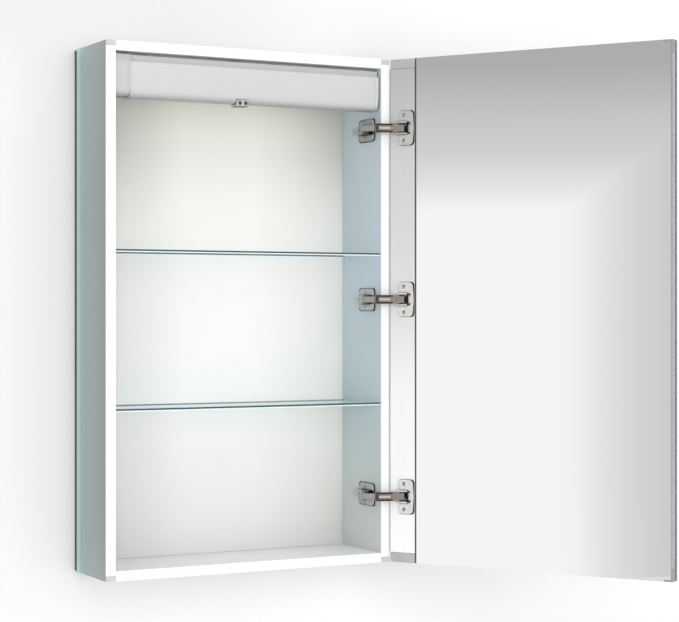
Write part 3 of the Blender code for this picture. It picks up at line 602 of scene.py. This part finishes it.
def screw(name, place, x_axis, out_axis, radius, body):
    """The low domed head of a screw and the dark cross in its middle, painted shade for its cross recess."""
    base = frame_at(place, x_axis, out_axis)
    rise = radius * 0.30
    dome = [(0, -radius * 0.1), (radius, -radius * 0.1), (radius, 0.0)]
    dome += [(radius * math.cos(a), rise * math.sin(a)) for a in (0.45, 0.9, 1.25)] + [(0, rise)]
    piece(name, turned_bm(dome), SCREW_STEEL, body, base)
    recess = slab_bm(cross_outline(radius * 0.62, radius * 0.17), rise * 0.55, rise * 1.06)
    piece(f"{name}_recess", recess, SHADE_DARK, body, base @ Matrix.Rotation(CROSS_TURN, 4, "Z"))


INWARD = -DOOR_OUT
UP = Vector((0, 0, 1))
LINK_START = Vector((0.205144, -0.130452, 0))  # the pin that joins crank and link
LINK_ANGLE = math.radians(-24)
LINK_DIRECTION = Vector((math.cos(LINK_ANGLE), math.sin(LINK_ANGLE), 0))
LINK_FACE = Vector((math.sin(LINK_ANGLE), -math.cos(LINK_ANGLE), 0))
LINK_DEPTH = 0.0044  # from a link's pin to its outer web, at the crank end
LINK_TAPER = 0.0692  # how fast that depth shrinks along the link
SUNK = 0.0002  # how far a strip's lower side lies inside the web

# The cup's flange, seen from inside: distances along the door and heights from the hinge's middle.
FLANGE_MIDDLE = 0.02725
FLANGE_HALF_WIDTH = 0.01325
FLANGE_HALF_HEIGHT = 0.026
FLANGE_CORNER = 0.0055
# The flange's painted shadow: how far it reaches past the flange, and where its parts end along the door.
FLANGE_SHADOW_BORDER = 0.0006
FLANGE_SHADOW_LEFT = 0.0134
FLANGE_SHADOW_RIGHT = 0.04115
FLANGE_SHADOW_RIM_LEFT = 0.0364
LINK_WAY_HALF = 0.0102  # half the height of the link's way through the flange

FROM_RIGHT_WALL = (-1, 0, 0)
REARWARD = (0, 1, 0)
PLATE_DEPTH = -0.0835  # of the hinge plates' middle


def link_strip(name, level, height, along, heights, material, rise):
    """Raised strip on the outer web of a channel link."""
    web = LINK_FACE * (LINK_DEPTH - LINK_TAPER * along[0] - SUNK)
    start = LINK_START + LINK_DIRECTION * along[0] + web
    start.z = height + (heights[0] + heights[1]) / 2
    slope = LINK_DIRECTION - LINK_FACE * LINK_TAPER
    half_length = (along[1] - along[0]) / 2
    half = (heights[1] - heights[0]) / 2
    outline = [(x + half_length, y) for x, y in rounded_outline(half_length, half, half * 0.6, 4)]
    base = frame_at(start, slope, slope.normalized().cross(UP))
    piece(name, slab_bm(outline, 0.0, rise + SUNK), material, f"link_{level}", base)


def link_details(level, height):
    """A pale rib along the middle of a link, a painted highlight, and a dark line along each of its edges,
    painted shade.
    """
    link_strip(f"link_highlight_rib_{level}", level, height, (0.003, 0.0200), (-0.0017, 0.0017), LINK_HIGHLIGHT, 0.0003)
    for index, side in enumerate((-1, 1)):
        heights = sorted((side * 0.0040, side * 0.0064))
        link_strip(f"link_shade_edge_{level}_{index}", level, height, (0.000, 0.0240), heights, LINK_SHADE, 0.0002)


def flange_shadow(level, height):
    """Painted shadow: a thin dark border under the flange, in three parts that leave the link's way free."""
    half_width = FLANGE_HALF_WIDTH + FLANGE_SHADOW_BORDER
    half_height = FLANGE_HALF_HEIGHT + FLANGE_SHADOW_BORDER
    corner_steps = 6
    border = rounded_outline(half_width, half_height, FLANGE_CORNER, corner_steps)
    upper_half = [(x + FLANGE_MIDDLE, y) for x, y in border[:2 * corner_steps]]
    lobe = upper_half + [(FLANGE_SHADOW_LEFT, LINK_WAY_HALF), (FLANGE_SHADOW_RIGHT, LINK_WAY_HALF)]
    rim = [(FLANGE_SHADOW_RIGHT, -LINK_WAY_HALF), (FLANGE_SHADOW_RIGHT, LINK_WAY_HALF)]
    rim += [(FLANGE_SHADOW_RIM_LEFT, LINK_WAY_HALF), (FLANGE_SHADOW_RIM_LEFT, -LINK_WAY_HALF)]
    outlines = {"upper": lobe, "lower": [(x, -y) for x, y in reversed(lobe)], "rim": rim}
    place = frame_at(on_door(0, -0.00005, height), DOOR_RIGHT, INWARD)
    for part, outline in outlines.items():
        piece(f"flange_shadow_{part}_{level}", slab_bm(outline, 0.0, 0.0003), SHADE_DARK, "door", place)


def hinge_details(level, height):
    """What one hinge has beside its solids: dark slabs of painted shadow under the flange and the plate, at
    the link's pivot and beside the link's way, the link's strips, and screws.
    """
    flange_shadow(level, height)
    # Painted shadow around the hinge plate on the side wall.
    dark_slab = slab_bm(rounded_outline(0.0255, 0.0178, 0.006), 0.0, 0.0004)
    slab_place = frame_at(Vector((0.2142, PLATE_DEPTH, height)), REARWARD, FROM_RIGHT_WALL)
    piece(f"plate_shadow_{level}", dark_slab, SHADE_DARK, "cabinet", slab_place)
    # Painted shadow at the link's pivot by the crank.
    pivot_shadow = slab_bm(rounded_outline(0.0011, 0.0062, 0.0008, 4), 0.0, 0.0004)
    pivot_shadow_place = Vector((0.2040, -0.1318, height)) + LINK_FACE * 0.0042 + LINK_DIRECTION * 0.0006
    turned = frame_at(pivot_shadow_place, LINK_DIRECTION, LINK_FACE)
    piece(f"link_pivot_shadow_{level}", pivot_shadow, SHADE_DARK, f"link_{level}", turned)
    link_details(level, height)
    for index, side in enumerate((-1, 1)):
        on_flange = on_door(0.0240, -0.0015, height + side * 0.0195)
        screw(f"flange_screw_{level}_{index}", on_flange, DOOR_RIGHT, INWARD, 0.0030, "door")
        # Painted shade beside the link, where it passes through the flange.
        dark_slab = slab_bm(rounded_outline(0.0022, 0.0011, 0.0008, 4), 0.0, 0.0012)
        slab_place = frame_at(on_door(0.0318, -0.0015, height + side * 0.0078), DOOR_RIGHT, INWARD)
        piece(f"link_way_shade_{level}_{index}", dark_slab, SHADE_DARK, "door", slab_place)
        on_plate = Vector((0.2118, PLATE_DEPTH, height + side * 0.0125))
        screw(f"plate_screw_{level}_{index}", on_plate, REARWARD, FROM_RIGHT_WALL, 0.0031, "cabinet")
    on_arm = Vector((0.2046, -0.0775, height))
    screw(f"depth_screw_{level}", on_arm, REARWARD, (-1, 0.06, 0), 0.0028, "cabinet")
    in_front = Vector((0.2003, -0.0925, height))
    screw(f"side_screw_{level}", in_front, REARWARD, (-1, 0.48, 0), 0.0023, "cabinet")


for level, height in HINGE_HEIGHTS.items():
    hinge_details(level, height)


def door_strip(name, along, depth, half_height, material):
    """Thin upright strip on the door between two distances along it and two depths."""
    bm = bmesh.new()
    corners = [(along[i], depth[j]) for i, j in ((0, 0), (1, 0), (1, 1), (0, 1))]
    rings = []
    for k in range(STRIP_STEPS + 1):
        z = half_height * (2 * k / STRIP_STEPS - 1)
        rings.append([bm.verts.new(on_door(u, v, z)) for u, v in corners])
    bm.faces.new(rings[0][::-1])
    bm.faces.new(rings[-1])
    for low, high in zip(rings, rings[1:]):
        for i in range(4):
            j = (i + 1) % 4
            bm.faces.new((low[i], low[j], high[j], high[i]))
    piece(name, bm, material, "door")


STILE_HALF = 0.3656
DOOR_HALF = 0.3803
door_strip("hinge_edge_seal", (-0.0016, 0.0004), (0.0010, 0.0024), STILE_HALF, SEAL_GREY)
door_strip("outer_edge_bead", (0.4469, 0.4474), (0.0112, 0.0160), DOOR_HALF, BEAD_GREY)
door_strip("mirror_seam", (0.0424, 0.0440), (-0.0004, 0.0003), DOOR_HALF, SEAM_DARK)


def upright_slab(name, low, high, material):
    """A thin upright cover on the cabinet between two corners."""
    bm = bmesh.new()
    bmesh.ops.create_cube(bm, size=1)
    size = [end - start for start, end in zip(low, high)]
    middle = [(end + start) / 2 for start, end in zip(low, high)]
    bmesh.ops.transform(bm, matrix=Matrix.Diagonal((*size, 1)), verts=bm.verts)
    bmesh.ops.translate(bm, verts=bm.verts, vec=middle)
    bmesh.ops.bevel(bm, geom=bm.edges[:], offset=min(size) * 0.1, segments=1, affect="EDGES")
    piece(name, bm, material, "cabinet")


upright_slab("rear_seal_left", (-0.2290, -0.0052, -0.3800), (-0.2282, -0.0006, 0.3800), SEAM_DARK)
upright_slab("rear_seal_right", (0.2282, -0.0052, -0.3800), (0.2290, -0.0006, 0.3800), SEAM_DARK)
upright_slab("valance_joint", (-0.1932, -0.1244, 0.3125), (-0.1898, -0.1238, 0.3530), valance_white)


# ---------------------------------------------------------------- stage, light and camera

WALL_Y = 0.0006
FLOOR_Z = -1.30
ROOM_SIDE = 6
ROOM_TOP = 4
ROOM_FRONT = -7
HOLE_X = 0.222  # the wall is open behind the cabinet, so that its back is lit
HOLE_Z = 0.375


def plane(name, faces, material):
    """Flat stage piece from one or more faces, each a list of corners."""
    bm = bmesh.new()
    for corners in faces:
        bm.faces.new([bm.verts.new(corner) for corner in corners])
    obj = made_object(name, bm, material)


def wall_paint():
    """Matt white paint with a painted shadow, darker on the left and more so above the cabinet's top, fading
    out to the right; seen from the room only: from behind, the wall is clear.
    """
    s = Shader("wall_paint", Roughness=0.8, Specular_IOR_Level=0.0)
    place = s.split(s.coords())
    coat = s.mottle(2.0, (0.885, 0.885, 0.885), (0.90, 0.90, 0.90), 3.0)
    # Painted shadow on the wall beside and above the cabinet.
    painted_wall_shade = s.range(place[2], 0.30, 0.44, 0.90, 0.82, smooth=True)
    away = s.range(place[0], -0.20, 0.55, smooth=True)
    s.to("Base Color", s.mix(away, s.scaled(coat, painted_wall_shade), coat))
    clear = s.node("ShaderNodeBsdfTransparent")
    mixer = s.node("ShaderNodeMixShader")
    s.link(s.node("ShaderNodeNewGeometry").outputs["Backfacing"], mixer.inputs[0])
    s.link(s.bsdf.outputs[0], mixer.inputs[1])
    s.link(clear.outputs[0], mixer.inputs[2])
    s.link(mixer.outputs[0], s.tree.nodes["Material Output"].inputs["Surface"])
    return s.material


def floor_paint():
    s = Shader("floor_paint", Roughness=0.7)
    s.to("Base Color", s.mottle(1.5, (0.80, 0.80, 0.79), (0.83, 0.83, 0.82), 3.0))
    return s.material


def wall_face(x_low, x_high, z_low, z_high):
    return [(x, WALL_Y, z) for x, z in ((x_low, z_low), (x_high, z_low), (x_high, z_high), (x_low, z_high))]


wall_faces = [
    wall_face(-ROOM_SIDE, ROOM_SIDE, FLOOR_Z, -HOLE_Z),
    wall_face(-ROOM_SIDE, ROOM_SIDE, HOLE_Z, ROOM_TOP),
    wall_face(-ROOM_SIDE, -HOLE_X, -HOLE_Z, HOLE_Z),
    wall_face(HOLE_X, ROOM_SIDE, -HOLE_Z, HOLE_Z),
]
plane("wall", wall_faces, wall_paint())
floor_corners = ((-ROOM_SIDE, ROOM_FRONT), (ROOM_SIDE, ROOM_FRONT), (ROOM_SIDE, WALL_Y), (-ROOM_SIDE, WALL_Y))
plane("floor", [[(x, y, FLOOR_Z) for x, y in floor_corners]], floor_paint())


# A low end, a high end and evenly spaced grey levels: for the upward and the forward part of a direction.
SKY_RISING = (0.0522, 0.1300, (0.98, 0.818, 0.678, 0.620, 0.534, 0.450))
SKY_TURNING = (0.167, 0.2309, (0.99, 0.946, 0.834, 0.747, 0.680, 0.640))
SKY_LEVEL = 0.955


def make_world():
    """Even studio surround; to the left, where the open door's mirror looks, it is graded."""
    world = bpy.data.worlds.new("studio")
    bpy.context.scene.world = world
    world.use_nodes = True
    sky = Nodes(world.node_tree)

    def graded(value, low, high, levels):
        stops = [(index / (len(levels) - 1), level) for index, level in enumerate(levels)]
        return sky.ramp(sky.range(value, low, high), *stops)

    toward = sky.split(sky.coords("Generated"))
    left = sky.range(sky.math("MULTIPLY", toward[0], -1.0), 0.80, 0.95, smooth=True)
    rising = graded(toward[2], *SKY_RISING)
    turning = graded(sky.math("MULTIPLY", toward[1], -1.0), *SKY_TURNING)
    darkened = sky.math("SUBTRACT", 1.0, sky.math("MINIMUM", rising, turning))
    level = sky.math("SUBTRACT", 1.0, sky.math("MULTIPLY", darkened, left))
    background = sky.tree.nodes["Background"]
    sky.link(sky.mix(level, (0.0, 0.0, 0.0), (SKY_LEVEL, SKY_LEVEL, SKY_LEVEL)), background.inputs["Color"])
    background.inputs["Strength"].default_value = 1.0


make_world()


def area_light(name, place, target, size, power):
    """A square lamp aimed at a point, which is not seen in the mirrors."""
    data = bpy.data.lights.new(name, "AREA")
    data.size = size
    data.energy = power
    obj = bpy.data.objects.new(name, data)
    bpy.context.scene.collection.objects.link(obj)
    obj.location = place
    obj.rotation_euler = (Vector(target) - Vector(place)).to_track_quat("-Z", "Y").to_euler()
    obj.visible_glossy = False


area_light("front_softbox", (-0.6, -3.6, 0.6), (0, 0, 0), 2.4, 42)
area_light("low_left_fill", (-2.6, -1.9, -0.8), (0.2, -0.1, -0.1), 1.6, 14)

camera_data = bpy.data.cameras.new("camera")
camera_data.sensor_width = 36
camera_data.lens = 99.47
camera = bpy.data.objects.new("camera", camera_data)
bpy.context.scene.collection.objects.link(camera)
camera.location = (-1.1849, -2.6019, -0.0005)
camera.rotation_euler = (math.radians(90), 0, math.radians(-28.21))
bpy.context.scene.camera = camera
bpy.context.scene.view_settings.view_transform = "Standard"
